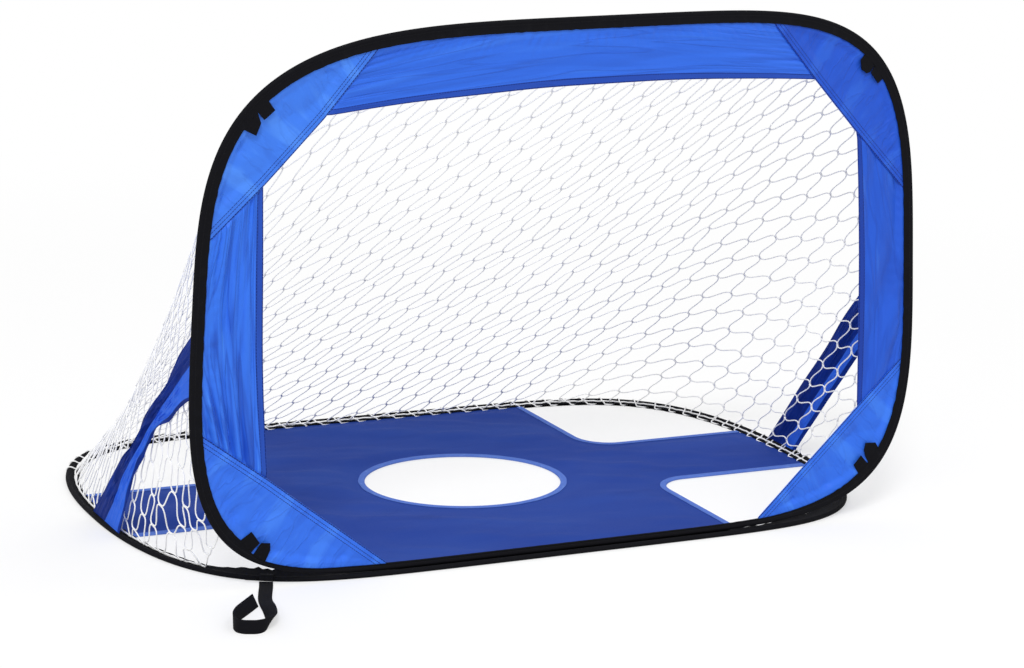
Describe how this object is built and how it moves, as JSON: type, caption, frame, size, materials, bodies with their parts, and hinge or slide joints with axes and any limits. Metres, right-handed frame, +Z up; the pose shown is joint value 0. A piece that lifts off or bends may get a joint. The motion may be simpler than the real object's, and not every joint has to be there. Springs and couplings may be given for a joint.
{
  "type": "folding soccer goal",
  "caption": "Folding goal with an upright cloth-edged mouth, a floor loop holding a cross-shaped target sheet, a net, side braces, closing tabs and a ground strap.",
  "frame": {"origin": "on the floor under the middle of the fold between the standing mouth and the floor loop", "axes": "+X to the right seen from in front of the mouth, +Y from the mouth towards the back of the goal, +Z up"},
  "size_m": [1.2302, 0.9634, 0.8],
  "materials": {
    "black_binding": "matte woven tape",
    "panel_cloth": "satin nylon",
    "brace_cloth": "satin nylon",
    "target_cloth": "dull nylon",
    "edge_tape": "matte woven tape",
    "net_twine": "matte twine",
    "spring_wire": "bare spring steel",
    "ferrule": "zinc plated"
  },
  "bodies": {
    "floor_frame": {"brace_left": "brace_cloth", "brace_right": "brace_cloth", "centre_hole_binding": "edge_tape", "floor_sleeve": "black_binding", "floor_spring_wire": "spring_wire", "floor_wire_ferrule": "ferrule", "goal_net": "net_twine", "hinge_tape": "black_binding", "notch_binding_front_left": "edge_tape", "notch_binding_front_right": "edge_tape", "notch_binding_rear_left": "edge_tape", "notch_binding_rear_right": "edge_tape", "strap_root": "black_binding", "target_sheet": "target_cloth"},
    "front_frame": {"front_sleeve": "black_binding", "front_spring_wire": "spring_wire", "front_wire_ferrule": "ferrule", "top_panel": "panel_cloth", "left_panel": "panel_cloth", "right_panel": "panel_cloth", "gusset_bottom_left": "panel_cloth", "gusset_bottom_right": "panel_cloth", "gusset_top_left": "panel_cloth", "gusset_top_right": "panel_cloth"},
    "tab_bottom_left_pointed": {"tab_bottom_left_pointed": "black_binding"},
    "tab_bottom_left_square": {"tab_bottom_left_square": "black_binding"},
    "tab_bottom_right_pointed": {"tab_bottom_right_pointed": "black_binding"},
    "tab_bottom_right_square": {"tab_bottom_right_square": "black_binding"},
    "tab_top_left_pointed": {"tab_top_left_pointed": "black_binding"},
    "tab_top_left_square": {"tab_top_left_square": "black_binding"},
    "tab_top_right_pointed": {"tab_top_right_pointed": "black_binding"},
    "tab_top_right_square": {"tab_top_right_square": "black_binding"},
    "ground_strap": {"ground_strap": "black_binding"}
  },
  "joints": [
    {"name": "front_fold", "type": "hinge", "parent": "floor_frame", "child": "front_frame", "pos_m": [0, 0, 0.00861], "axis": [-1, 0, 0], "range_deg": [0, 74], "stiffness_Nm_per_rad": 3, "deforming": ["goal_net", "brace_left", "brace_right", "hinge_tape"]},
    {"name": "bottom_left_pointed_tab", "type": "hinge", "parent": "front_frame", "child": "tab_bottom_left_pointed", "pos_m": [-0.49503, -0.00583, 0.05685], "axis": [0.8887, 0.0412, -0.4567], "range_deg": [0, 110]},
    {"name": "bottom_left_square_tab", "type": "hinge", "parent": "front_frame", "child": "tab_bottom_left_square", "pos_m": [-0.51599, -0.00702, 0.07025], "axis": [0.8063, 0.0537, -0.589], "range_deg": [0, 110]},
    {"name": "bottom_right_pointed_tab", "type": "hinge", "parent": "front_frame", "child": "tab_bottom_right_pointed", "pos_m": [0.53584, 0.00893, 0.09747], "axis": [0.6717, 0.0924, 0.7351], "range_deg": [0, 110]},
    {"name": "bottom_right_square_tab", "type": "hinge", "parent": "front_frame", "child": "tab_bottom_right_square", "pos_m": [0.51792, 0.00678, 0.08041], "axis": [0.7804, 0.0772, 0.6205], "range_deg": [0, 110]},
    {"name": "top_left_pointed_tab", "type": "hinge", "parent": "front_frame", "child": "tab_top_left_pointed", "pos_m": [-0.53921, -0.05404, 0.67817], "axis": [-0.6463, -0.0189, -0.7628], "range_deg": [0, 110]},
    {"name": "top_left_square_tab", "type": "hinge", "parent": "front_frame", "child": "tab_top_left_square", "pos_m": [-0.52165, -0.05329, 0.6962], "axis": [-0.7402, -0.0415, -0.6711], "range_deg": [0, 110]},
    {"name": "top_right_pointed_tab", "type": "hinge", "parent": "front_frame", "child": "tab_top_right_pointed", "pos_m": [0.52502, 0.07595, 0.71199], "axis": [-0.7408, -0.018, 0.6715], "range_deg": [0, 110]},
    {"name": "top_right_square_tab", "type": "hinge", "parent": "front_frame", "child": "tab_top_right_square", "pos_m": [0.54215, 0.07607, 0.69406], "axis": [-0.6353, 0.0105, 0.7722], "range_deg": [0, 110]},
    {"name": "strap_lift", "type": "hinge", "parent": "floor_frame", "child": "ground_strap", "pos_m": [-0.47789, 0.01797, 0.0016], "axis": [-0.882, 0.4713, 0], "range_deg": [0, 30]}
  ]
}
